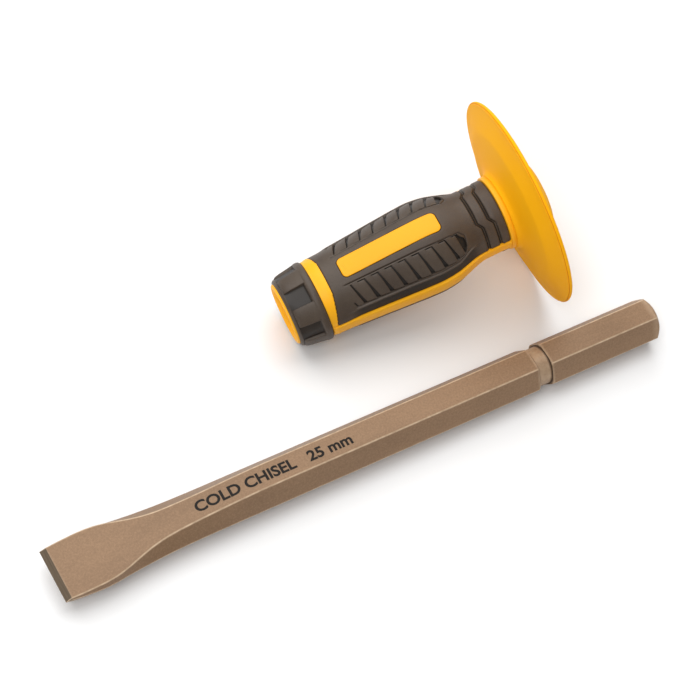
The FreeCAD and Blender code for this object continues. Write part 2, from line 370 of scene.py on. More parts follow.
class NodeSheet(NodeBuilder):
    """A material's node tree."""

    def __init__(self, name: str) -> None:
        """Start a material with its shader.

        Args:
            name: The material's name.
        """
        self.material = bpy.data.materials.new(name)
        self.material.use_nodes = True
        super().__init__(self.material.node_tree)
        self.tree.nodes.clear()
        self.shader = self.node("ShaderNodeBsdfPrincipled")
        self.node("ShaderNodeOutputMaterial", {"Surface": self.shader.outputs["BSDF"]})
        self.place = self.node("ShaderNodeTexCoord").outputs["Object"]

    def noise(self, scale: float, detail: float = 4.0, roughness: float = 0.55,
              stretch: tuple[float, float, float] | None = None) -> bpy.types.NodeSocket:
        """Add fractal noise read in the row frame.

        Args:
            scale: Features per metre.
            detail: Octaves of finer noise.
            roughness: How strong the finer octaves are.
            stretch: Optional scale along X, Y and Z.

        Returns:
            The noise value, about 0 to 1.
        """
        where = self.place
        if stretch:
            where = self.node("ShaderNodeMapping", {"Vector": self.place, "Scale": stretch}).outputs["Vector"]
        made = self.node("ShaderNodeTexNoise", {"Vector": where, "Scale": scale, "Detail": detail,
                                                "Roughness": roughness})
        return made.outputs["Fac"]

    def spread(self, value: bpy.types.NodeSocket, low: float, high: float, to_low: float,
               to_high: float) -> bpy.types.NodeSocket:
        """Map one range of a value onto another, clamped.

        Args:
            value: What is mapped.
            low: Start of its range.
            high: End of its range.
            to_low: Result at the start.
            to_high: Result at the end.

        Returns:
            The mapped value.
        """
        made = self.node("ShaderNodeMapRange", {"Value": value, "From Min": low, "From Max": high,
                                                "To Min": to_low, "To Max": to_high})
        return made.outputs["Result"]

    def blend(self, factor: Any, first: Any, second: Any, mode: str = "MIX") -> bpy.types.NodeSocket:
        """Blend two colours.

        Args:
            factor: How much of the second.
            first: A colour or a colour socket.
            second: A colour or a colour socket.
            mode: Blender's name for the way of blending.

        Returns:
            The blended colour.
        """
        made = self.node("ShaderNodeMix", data_type="RGBA", blend_type=mode)
        ports = [s for s in made.inputs if s.type == "RGBA"]
        factor_port = next(s for s in made.inputs if s.type == "VALUE" and s.enabled)
        self.join(factor, factor_port)
        for value, port in zip((first, second), ports):
            self.join((*value, 1.0) if isinstance(value, tuple) and len(value) == 3 else value, port)
        return next(s for s in made.outputs if s.type == "RGBA")

    def attribute(self, name: str) -> bpy.types.NodeSocket:
        """Read a number stored on the mesh.

        Args:
            name: The attribute's name.

        Returns:
            Its value.
        """
        return self.node("ShaderNodeAttribute", attribute_name=name).outputs["Fac"]

    def bump(self, height: bpy.types.NodeSocket, distance: float, strength: float = 1.0,
             under: bpy.types.NodeSocket | None = None) -> bpy.types.NodeSocket:
        """Turn a height into a surface normal.

        Args:
            height: The height, 0 to 1.
            distance: What 1 stands for, in metres.
            strength: Share of the effect.
            under: A normal it is laid over.

        Returns:
            The normal.
        """
        made = self.node("ShaderNodeBump", {"Height": height, "Distance": distance, "Strength": strength})
        if under is not None:
            self.join(under, made.inputs["Normal"])
        return made.outputs["Normal"]

    def finish(self, **inputs: Any) -> bpy.types.Material:
        """Feed the shader and return the material.

        Args:
            inputs: Shader inputs, with underscores for spaces.

        Returns:
            The finished material.
        """
        for key, value in inputs.items():
            socket = self.shader.inputs[key.replace("_", " ")]
            self.join((*value, 1.0) if isinstance(value, tuple) and socket.type == "RGBA" else value, socket)
        return self.material


@dataclass(frozen=True)
class BronzeLacquer:
    """Satin bronze lacquer over a forged bar, rubbed along its edges and ground off at the cutting bevel. Its
    rubbed edges and turned neck also carry a painted highlight, and a painted shadow darkens the neck's
    shoulders.
    """

    name: str = "bronze_lacquer"
    base: Colour = srgb(140, 111, 84)
    shade: Colour = srgb(118, 92, 68)
    light: Colour = srgb(157, 126, 97)
    # Colour of rubbed lacquer, also used as a painted highlight along the corners, shoulders, neck and head
    # chamfer.
    worn_and_highlight: Colour = srgb(216, 190, 160)
    # Painted shadow: darkens the lacquer next to both shoulders of the turned neck.
    painted_shadow: Colour = srgb(38, 29, 22)
    ground: Colour = srgb(90, 77, 62)
    bright: Colour = srgb(119, 103, 85)
    pit: Colour = srgb(104, 82, 62)

    def build(self) -> bpy.types.Material:
        """Make the material.

        Returns:
            The material.
        """
        s = NodeSheet(self.name)
        cloud = s.noise(30.0, 4.0, 0.55, (0.35, 1.0, 1.0))
        grain = s.noise(1150.0, 5.0, 0.75)
        streak = s.noise(700.0, 3.0, 0.55, (0.05, 1.0, 1.0))
        speck = s.noise(1300.0, 1.0, 0.4)
        bevel, edge = s.attribute("bevel"), s.attribute("wear_and_highlight")
        colour = s.blend(s.spread(cloud, 0.35, 0.65, 0.0, 1.0), self.shade, self.light)
        colour = s.blend(0.5, self.base, colour)
        colour = s.blend(s.spread(grain, 0.30, 0.52, 0.55, 0.0), colour, self.shade)
        colour = s.blend(s.spread(grain, 0.50, 0.72, 0.0, 0.60), colour, self.light)
        colour = s.blend(s.spread(streak, 0.55, 0.75, 0.0, 0.14), colour, self.shade)
        colour = s.blend(s.spread(speck, 0.70, 0.78, 0.0, 0.30), colour, self.pit)
        scratches = s.noise(1500.0, 3.0, 0.6, (1.0, 0.04, 1.0))
        steel = s.blend(s.spread(scratches, 0.35, 0.65, 0.0, 0.5), self.ground, self.bright)
        colour = s.blend(bevel, colour, steel)
        # Rubbed edges: real rubbing of the lacquer mixed with a painted highlight, strongest along the turned
        # neck.
        rub_and_highlight = s.math("MULTIPLY", edge, s.spread(s.noise(300.0, 5.0, 0.65), 0.32, 0.66, 0.40, 0.95))
        colour = s.blend(rub_and_highlight, colour, self.worn_and_highlight)
        # Painted shadow next to the neck's shoulders, read from the corner attribute.
        colour = s.blend(s.math("MULTIPLY", s.attribute("corner"), 0.85), colour, self.painted_shadow)
        rough = s.math("SUBTRACT", s.spread(cloud, 0.3, 0.7, 0.46, 0.54), s.math("MULTIPLY", rub_and_highlight, 0.10))
        rough = s.math("SUBTRACT", rough, s.math("MULTIPLY", bevel, 0.08))
        normal = s.bump(grain, 0.000025, 0.6)
        normal = s.bump(streak, 0.000015, 0.35, normal)
        return s.finish(Base_Color=colour, Roughness=rough, Metallic=0.18, IOR=1.5,
                        Specular_IOR_Level=0.34, Normal=normal)


@dataclass(frozen=True)
class MouldedPlastic:
    """Satin moulded plastic with a faint orange-peel skin, slow shifts of tone and a painted shade in its
    sunk places.
    """

    name: str
    base: Colour
    deep: Colour
    roughness: float = 0.46
    peel: float = 0.5
    gloss: float = 0.28
    # Painted shade: deeper orange where the sunk attribute marks the guard's parting groove.
    groove_painted_shade: Colour = srgb(190, 92, 6)
    scuffed: Colour = (0.99, 0.78, 0.42)

    def build(self) -> bpy.types.Material:
        """Make the material.

        Returns:
            The material.
        """
        s = NodeSheet(self.name)
        cloud = s.noise(45.0, 3.0, 0.5)
        skin = s.noise(1400.0, 4.0, 0.55)
        scuff = s.noise(520.0, 6.0, 0.7, (1.0, 0.3, 1.0))
        colour = s.blend(s.spread(cloud, 0.35, 0.7, 0.0, 0.35), self.base, self.deep)
        colour = s.blend(s.spread(scuff, 0.66, 0.8, 0.0, 0.10), colour, self.scuffed)
        # Painted shade in sunk places, here the guard's parting groove.
        colour = s.blend(s.math("MULTIPLY", s.attribute("sunk"), 0.75), colour, self.groove_painted_shade)
        rough = s.spread(skin, 0.3, 0.7, self.roughness - 0.05, self.roughness + 0.06)
        normal = s.bump(skin, 0.00002, self.peel)
        return s.finish(Base_Color=colour, Roughness=rough, IOR=1.49,
                        Specular_IOR_Level=self.gloss, Normal=normal)


@dataclass(frozen=True)
class SoftRubber:
    """Warm black soft-touch rubber with a fine matt grain, dust caught in it and a painted shade in its sunk
    places.
    """

    name: str = "soft_rubber"
    base: Colour = srgb(64, 52, 42)
    dust: Colour = srgb(112, 99, 84)
    roughness: float = 0.50
    # Painted shade: near black laid into the sunk places of the covers, treads and collar.
    recess_painted_shade: Colour = srgb(17, 13, 10)

    def build(self) -> bpy.types.Material:
        """Make the material.

        Returns:
            The material.
        """
        s = NodeSheet(self.name)
        cloud = s.noise(60.0, 4.0, 0.6)
        grain = s.noise(3200.0, 3.0, 0.7)
        colour = s.blend(s.spread(cloud, 0.4, 0.75, 0.0, 0.22), self.base, self.dust)
        colour = s.blend(s.spread(grain, 0.42, 0.78, 0.0, 0.26), colour, self.dust)
        # Painted shade in sunk places, read from the sunk attribute.
        colour = s.blend(s.math("MULTIPLY", s.attribute("sunk"), 0.85), colour, self.recess_painted_shade)
        rough = s.spread(grain, 0.3, 0.7, self.roughness - 0.08, self.roughness + 0.06)
        normal = s.bump(grain, 0.00005, 0.8)
        return s.finish(Base_Color=colour, Roughness=rough, IOR=1.5,
                        Specular_IOR_Level=0.42, Normal=normal)


@dataclass(frozen=True)
class PrintedInk:
    """Black ink printed on the lacquer, a little broken up by its texture."""

    name: str = "printed_ink"
    black: Colour = srgb(22, 17, 13)
    rubbed: Colour = srgb(70, 55, 42)

    def build(self) -> bpy.types.Material:
        """Make the material.

        Returns:
            The material.
        """
        s = NodeSheet(self.name)
        patch = s.noise(1800.0, 4.0, 0.6)
        colour = s.blend(s.spread(patch, 0.55, 0.75, 0.0, 0.25), self.black, self.rubbed)
        rough = s.spread(patch, 0.3, 0.7, 0.5, 0.62)
        return s.finish(Base_Color=colour, Roughness=rough, Specular_IOR_Level=0.2,
                        Normal=s.bump(patch, 0.00001, 0.4))


@dataclass(frozen=True)
class StudioSurface:
    """Plain pale surface under the tool."""

    name: str = "studio_surface"
    tone: Colour = (0.90, 0.90, 0.90)

    def build(self) -> bpy.types.Material:
        """Make the material.

        Returns:
            The material.
        """
        s = NodeSheet(self.name)
        cloud = s.noise(3.0, 2.0, 0.5)
        rough = s.spread(cloud, 0.0, 1.0, 0.9, 0.95)
        return s.finish(Base_Color=self.tone, Roughness=rough, Specular_IOR_Level=0.1)


@dataclass
class Finishes:
    """The finished materials, made once and shared."""

    bronze: bpy.types.Material = field(default_factory=BronzeLacquer().build)
    core: bpy.types.Material = field(default_factory=MouldedPlastic(
        "core_plastic", srgb(253, 182, 22), srgb(249, 170, 12)).build)
    label: bpy.types.Material = field(default_factory=MouldedPlastic(
        "label_plastic", srgb(245, 171, 14), srgb(241, 162, 9), 0.44).build)
    guard: bpy.types.Material = field(default_factory=MouldedPlastic(
        "guard_plastic", srgb(254, 181, 8), srgb(250, 168, 5), 0.64, 0.7, 0.12).build)
    rubber: bpy.types.Material = field(default_factory=SoftRubber().build)
    ring: bpy.types.Material = field(default_factory=SoftRubber(
        "ring_rubber", srgb(30, 29, 28), srgb(60, 58, 56), 0.46).build)
    ink: bpy.types.Material = field(default_factory=PrintedInk().build)


# ------------------------------------------------------------------ chisel bar


@dataclass
class ChiselBar:
    """Forged hexagonal bar: cutting bevel, flared blade, shank, turned neck and struck head.

    Sizes are in millimetres, and stations are measured from the cutting edge.  Each section is drawn in
    to a reach from the axis, which is free where the bar isn't turned.  Corners whose reach is under bare
    are turned away, so they show neither a rubbed edge nor a painted edge highlight.
    """

    length: float = 300.0
    across_flats: float = 19.0
    bevel_length: float = 2.7
    bevel_half: float = 1.6
    edge_half: float = 0.06
    taper_end: float = 92.0
    neck_start: float = 233.4
    neck_end: float = 240.6
    neck_radius: float = 8.75
    shoulder_radius: float = 10.45
    head_radius: float = 9.0
    head_chamfer: float = 1.7
    corner: float = 0.55
    corner_reach: float = 10.97
    lip: float = 0.12
    free: float = 40.0
    bare: float = 9.3
    wide: Profile = (
        (0.0, 12.45), (2.7, 12.5), (10.0, 12.75), (17.0, 12.8), (22.5, 12.4), (27.5, 11.45), (32.5, 10.0),
        (38.0, 8.4), (44.0, 7.0), (51.0, 6.1), (60.0, 5.7), (74.0, 5.485), (300.0, 5.485))
    middle: Profile = (
        (0.0, 12.5), (2.7, 12.75), (10.0, 13.5), (17.0, 13.85), (22.5, 13.55), (27.5, 13.0), (32.5, 12.55),
        (38.0, 12.1), (44.0, 11.7), (51.0, 11.35), (60.0, 11.1), (74.0, corner_reach), (300.0, corner_reach))

    def half_thickness(self, at: float) -> float:
        """Give half the bar's thickness at a station.

        Args:
            at: Station from the cutting edge.

        Returns:
            Half the thickness.
        """
        full = self.across_flats / 2.0
        if at <= self.bevel_length:
            return self.edge_half + (self.bevel_half - self.edge_half) * at / self.bevel_length
        slope = (full - self.bevel_half) / (self.taper_end - self.bevel_length)
        line = self.bevel_half + slope * (at - self.bevel_length)
        ease = 0.35
        return full - ease * math.log1p(math.exp((full - line) / ease))

    def section(self, at: float, reach: float) -> tuple[np.ndarray, np.ndarray]:
        """Draw one rounded six-cornered section.

        Args:
            at: Station from the cutting edge.
            reach: No point lies further than this from the bar's axis.

        Returns:
            Points across and up from the axis, and how much each is rubbed, which also sets its painted
            highlight.
        """
        w, m = float(follow(self.wide, at)), float(follow(self.middle, at))
        h = self.half_thickness(at)
        corners = np.array([(m, 0), (w, h), (-w, h), (-m, 0), (-w, -h), (w, -h)], float)
        cut = min(self.corner, 0.45 * h + 0.02)
        flats = np.array([0.05, 0.12, 0.22, 0.36, 0.5, 0.64, 0.78, 0.88, 0.95])
        points, worn_and_highlight = [], []
        for i, here in enumerate(corners):
            before, after = corners[i - 1] - here, corners[(i + 1) % 6] - here
            start = here + before / np.linalg.norm(before) * cut
            end = here + after / np.linalg.norm(after) * cut
            for t in np.linspace(0.0, 1.0, 7):
                points.append((1 - t) ** 2 * start + 2 * t * (1 - t) * here + t * t * end)
                worn_and_highlight.append(math.sin(math.pi * t))
            stop = corners[(i + 1) % 6] - after / np.linalg.norm(after) * cut
            for t in flats:
                points.append(end + (stop - end) * t)
                worn_and_highlight.append(0.0)
        ring = np.array(points)
        radius = np.linalg.norm(ring, axis=1)
        return ring * np.minimum(1.0, reach / radius)[:, None], np.array(worn_and_highlight)

    def stations(self) -> list[tuple[float, float, float]]:
        """List the sections along the bar.

        Returns:
            Station, reach and extra rubbing for each, which also carries a painted highlight.
        """
        free, a, b = self.free, self.neck_start, self.neck_end
        # The third number of each row is rubbing plus a painted highlight: at the edge, the shoulders, along
        # the neck and round the head's chamfer.
        out = [(0.0, free, 0.5), (0.2, free, 0.0), (1.3, free, 0.0), (2.6, free, 0.0), (2.72, free, 0.6),
               (2.85, free, 0.2)]
        out += [(x, free, 0.0) for x in np.arange(3.6, 96.0, 0.8)]
        out += [(x, free, 0.0) for x in np.arange(98.0, a - 2.0, 4.0)]
        edge, neck = self.shoulder_radius, self.neck_radius
        shoulder = [(1.2, free, 0.0), (0.75, neck + 2.22, 0.3), (self.lip, edge + 0.08, 0.8),
                    (0.0, edge - self.lip, 0.8), (0.0, neck + 0.5, 0.0), (-0.1, neck + 0.16, 0.0),
                    (-0.45, neck, 0.0)]
        out += [(a - outward, reach, wear_and_highlight) for outward, reach, wear_and_highlight in shoulder]
        out += [(x, neck, 0.45) for x in np.linspace(a + 1.0, b - 1.0, 9)]
        out += [(b + outward, reach, wear_and_highlight) for outward, reach, wear_and_highlight in reversed(shoulder)]
        end = self.length
        out += [(x, free, 0.0) for x in np.arange(b + 3.0, end - self.head_chamfer - 0.4, 4.0)]
        for t in np.linspace(0.0, 1.0, 9):
            reach = self.corner_reach + (self.head_radius - self.corner_reach) * t
            out.append((end - self.head_chamfer * (1.0 - t), reach, 0.45 if 0.0 < t < 1.0 else 0.7))
        out += [(end, self.head_radius - 0.25, 0.5), (end, 6.0, 0.0), (end, 3.0, 0.0)]
        return out

    def build(self, finishes: Finishes) -> None:
        """Make the bar and its printed mark.

        Args:
            finishes: The shared materials.
        """
        low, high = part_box("chisel_bar")
        lift, start = (low.z + high.z) / 2.0 / MM, low.x / MM
        points, worn_and_highlight = [], []
        rows = self.stations()
        for at, reach, extra in rows:
            ring, wear_and_highlight = self.section(at, reach)
            points.append(np.column_stack([np.full(len(ring), start + at), ring[:, 0], ring[:, 1] + lift]))
            clipped = np.linalg.norm(ring, axis=1) > reach - 1e-6
            # Rubbing of the lacquer mixed with a painted highlight along the corners.
            rubbed = wear_and_highlight * (0.0 if reach < self.bare else 1.0)
            worn_and_highlight.append(np.maximum(rubbed, np.where(clipped, extra, extra * 0.5)))
        count = len(points[0])
        last, tip = (len(rows) - 1) * count, len(rows) * count
        faces = grid_faces(len(rows), count, True).tolist() + [list(reversed(range(count)))]
        faces += [[last + i, last + (i + 1) % count, tip] for i in range(count)]
        cloud = np.vstack(points + [np.array([[start + self.length, 0.0, lift]])]) * MM
        bar = make_piece("forged_bar", cloud, faces)
        add_attribute(bar, "wear_and_highlight", np.concatenate(worn_and_highlight + [np.zeros(1)]))
        stations = np.repeat([row[0] for row in rows], count)
        bevel = smoothstep(self.bevel_length + 0.08, self.bevel_length - 0.05, stations)
        add_attribute(bar, "bevel", np.append(bevel, 0.0))
        # The corner attribute is a painted shadow: it darkens the neck next to both shoulders.
        turned = np.repeat([1.0 if row[1] < self.neck_radius + 0.6 else 0.0 for row in rows], count)
        inward = np.minimum(stations - self.neck_start, self.neck_end - stations)
        behind_head = np.where(stations < self.length - 10.0, 1.0, 0.0)
        add_attribute(bar, "corner", np.append(turned * behind_head * smoothstep(0.75, 0.0, inward), 0.0))
        dress(bar, finishes.bronze, "bar_steel", 32.0, "chisel_bar", body=Body.CHISEL)
        SizeMark().build(finishes, lambda x: lift + self.half_thickness(x - start))


@dataclass
class SizeMark:
    """Generic words and the blade's width, printed on the shank's upper flat.  Sizes are in millimetres."""

    words: str = "COLD CHISEL   25 mm"
    start: float = -85.5
    end: float = -10.5
    height: float = 5.2
    across: float = -2.6
    thickness: float = 0.03
    weight: float = 0.03

    def build(self, finishes: Finishes, height_at: Callable[[float], float]) -> None:
        """Make the mark.

        Args:
            finishes: The shared materials.
            height_at: Gives the height of the flat it is printed on, at a place along the bar.
        """
        curve = bpy.data.curves.new("size_mark_text", "FONT")
        curve.body = self.words
        curve.resolution_u = 4
        curve.offset = self.weight
        source = bpy.data.objects.new("size_mark_text", curve)
        bpy.context.scene.collection.objects.link(source)
        co, faces = take_mesh(source)
        base, extent = co.min(0), co.max(0) - co.min(0)
        along = (co[:, 0] - base[0]) / extent[0] * (self.end - self.start) + self.start
        across = (co[:, 1] - base[1]) / extent[1] * self.height + self.across
        lift = [height_at(x) + self.thickness for x in along]
        mark = make_piece("size_mark", np.column_stack([along, across, lift]) * MM, faces, False)
        mark.data.materials.append(finishes.ink)
        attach(mark, Body.CHISEL.value)
        LOG.info("size_mark: %d points", len(mark.data.vertices))


# ------------------------------------------------------------------ grip


@dataclass
class GripFrame:
    """Where the grip lies: distances along its axis from the butt, angles from the front label."""

    matrix: Matrix
    bore_station: float = 55.6

    @classmethod
    def from_record(cls, record: dict[str, Any], nodes: dict[str, bpy.types.Object]) -> "GripFrame":
        """Read the grip's axis from its bore and its turn from the front label.

        Args:
            record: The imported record.
            nodes: The CAD nodes by name.

        Returns:
            The grip's frame.
        """
        bore = next(m for m in record["mounts"] if m["name"] == "grip_bore")
        along = -Vector(bore["axis"]).normalized()
        butt = Vector(bore["pos_m"]) - along * cls.bore_station * MM
        pad = nodes["front_label_pad"].data
        centre = sum((v.co for v in pad.vertices), Vector()) / len(pad.vertices)
        label = centre - butt
        label = (label - along * label.dot(along)).normalized()
        third = along.cross(label)
        turn = Matrix((label, third, along)).transposed().to_4x4()
        return cls(Matrix.Translation(butt) @ turn)

    def place(self, along: np.ndarray, angle: np.ndarray, radius: np.ndarray) -> np.ndarray:
        """Turn grip positions into the row frame.

        Args:
            along: Distance from the butt, in millimetres.
            angle: Angle from the front label, in degrees.
            radius: Distance from the axis, in millimetres.

        Returns:
            Positions in metres.
        """
        a, t, r = np.broadcast_arrays(np.asarray(along, float), np.radians(angle), np.asarray(radius, float))
        local = np.stack([r * np.cos(t), r * np.sin(t), a], -1).reshape(-1, 3) * MM
        m = np.array(self.matrix)
        return local @ m[:3, :3].T + m[:3, 3]


# Radius of the smooth cover at distances from the butt, both in millimetres.
SKIN: Profile = (
    (15.0, 17.9), (20.0, 18.1), (24.0, 18.25), (29.0, 18.55), (35.0, 18.95), (42.0, 19.45), (49.0, 20.0),
    (56.0, 20.5), (62.5, 20.95), (69.0, 21.2), (73.5, 20.9), (77.5, 20.3), (81.5, 19.2), (85.0, 18.1),
    (88.5, 17.1), (91.5, 16.6), (97.5, 16.5), (108.0, 16.5))


@dataclass
class GripPiece:
    """What every piece of the grip needs: where the grip lies and the shared materials."""

    frame: GripFrame
    finishes: Finishes

    def revolve(self, name: str, profile: Sequence[tuple[float, float]], turns: int | np.ndarray,
                shape: Callable[..., np.ndarray] | None = None) -> bpy.types.Object:
        """Turn a closed loop of profile points round the grip's axis.

        Args:
            name: The piece's name.
            profile: Closed loop of distance and radius, outside first from butt to guard.
            turns: The number of columns, or the angle of each in degrees.
            shape: Optional change of radius from distance, angle and radius.

        Returns:
            The piece.
        """
        turns = np.linspace(0.0, 360.0, turns, endpoint=False) if isinstance(turns, int) else turns
        a = np.array([p[0] for p in profile])[:, None] + 0.0 * turns[None, :]
        r = np.array([p[1] for p in profile])[:, None] + 0.0 * turns[None, :]
        t = turns[None, :] + 0.0 * a
        if shape is not None:
            r = shape(a, t, r)
        rows, columns = a.shape
        c = np.arange(columns)
        n, last = (c + 1) % columns, (rows - 1) * columns
        faces = grid_faces(rows, columns, True).tolist() + np.stack([last + c, last + n, n, c], -1).tolist()
        return make_piece(name, self.frame.place(a, t, r), faces)


def from_label(angle: np.ndarray) -> np.ndarray:
    """Measure an angle from the nearer of the two labels, -90 to 90 degrees.

    Args:
        angle: Angle from the front label.

    Returns:
        Angle from the nearer label.
    """
    return (np.asarray(angle, float) + 90.0) % 180.0 - 90.0


def panel_back(angle: np.ndarray) -> np.ndarray:
    """Where a panel's back edge runs: level behind the label, then slanting back to the side ribs.

    Args:
        angle: Angles from the label, in degrees.

    Returns:
        Distances from the butt, in millimetres.
    """
    level, side, turn, reach = 21.5, 18.7, 28.0, 76.0
    run = np.clip((np.abs(angle) - turn) / (reach - turn), 0.0, 1.0)
    return level - (level - side) * run


def tread_narrowing(along: np.ndarray) -> np.ndarray:
    """Draw the tread's lower edge in towards the label as it nears the neck.

    Args:
        along: Distances from the butt, in millimetres.

    Returns:
        How far it is drawn in, in degrees.
    """
    return 5.0 * smoothstep(78.0, 85.0, along)


@dataclass
class GripCore(GripPiece):
    """Hard yellow inner moulding: side ribs, collar band, hub flange and bore.  Sizes are in millimetres.

    A profile point whose radius is the value of shaped gets its radius from the ribs and the band.
    """

    bore_radius: float = 11.15
    rib_half: float = 10.3
    rib_proud: float = 0.62
    band_start: float = 16.15
    band_radius: float = 17.72
    tube_depth: float = 1.55
    flange_start: float = 104.5
    nibs: tuple[float, float] = (94.1, 99.9)
    shaped: float = 0.0

    def profile(self) -> list[tuple[float, float]]:
        """Draw the closed section: outside from the butt to the guard, then back along the bore.

        Returns:
            Distance and radius of each point.
        """
        start, bore = self.flange_start, self.bore_radius
        outside = [(0.35, 12.35), (0.02, 12.7), (0.0, 13.2), (0.12, 13.75), (0.5, 14.2), (0.8, 14.36),
                   (1.02, 14.38), (1.08, 13.6), (1.16, 13.1), (15.9, 13.1), (16.0, 17.2),
                   (self.band_start, self.band_radius)]
        outside += [(a, self.shaped) for a in np.arange(16.5, start - 0.2, 0.35)]
        outside += [(start - 0.1, self.shaped), (start + 0.05, 16.7), (start + 0.1, 17.05),
                    (start + 0.25, 17.32), (start + 0.6, 17.42), (start + 1.4, 17.45), (106.7, 17.42),
                    (106.9, 17.3), (106.98, 17.1), (106.98, 15.6)]
        return outside + [(118.9, 15.6), (118.9, 11.75), (118.75, 11.6), (116.0, 11.6), (115.85, 14.2),
                          (109.6, 14.2), (109.55, 11.2), (60.0, bore), (1.7, bore), (1.1, 11.5)]

    def lift(self, a: np.ndarray, t: np.ndarray, r: np.ndarray) -> np.ndarray:
        """Lift the ribs and the band out of the hidden tube.

        Args:
            a: Distances from the butt.
            t: Angles from the front label.
            r: Radii of the profile, with shaped where they are still open.

        Returns:
            Radii.
        """
        nib_wide, nib_reach, crowned = 0.42, 3.0, 0.35
        off = np.abs(np.abs(from_label(t)) - 90.0)
        skin = follow(SKIN, a)
        nib = sum(np.exp(-((a - middle) / nib_wide) ** 4) for middle in self.nibs)
        half = self.rib_half + nib_reach * nib
        rib = smoothstep(half + 0.35, half - 0.55, off)
        crown = self.rib_proud * (1.0 - crowned * (off / self.rib_half) ** 4)
        crown = crown - 0.5 * smoothstep(18.5, 16.1, a)
        crown = crown + (0.95 - self.rib_proud) * smoothstep(100.8, self.flange_start, a)
        hidden = skin - self.tube_depth
        back = panel_back(from_label(t))
        band = smoothstep(back + 0.10, back - 0.12, a)
        band_radius = self.band_radius + 0.5 * smoothstep(16.1, 20.0, a)
        band_radius = band_radius + 0.05 * smoothstep(back - 1.0, back, a)
        body = np.maximum(hidden + (skin + crown - hidden) * rib, hidden + (band_radius - hidden) * band)
        return np.where(r == self.shaped, body, r)

    def build(self) -> None:
        """Make the core, with columns close together along the edges of its two ribs."""
        edge = np.concatenate([np.linspace(9.0, 10.6, 9), np.linspace(11.0, 14.5, 6)])
        near = np.concatenate([-edge[::-1], np.linspace(-8.0, 8.0, 11), edge])
        far = np.linspace(-75.0, 75.0, 61)
        angles = np.concatenate([far, near + 90.0, far + 180.0, near + 270.0])
        core = self.revolve("yellow_core", self.profile(), angles, self.lift)
        dress(core, self.finishes.core, "core_yellow", 40.0, "grip_core")


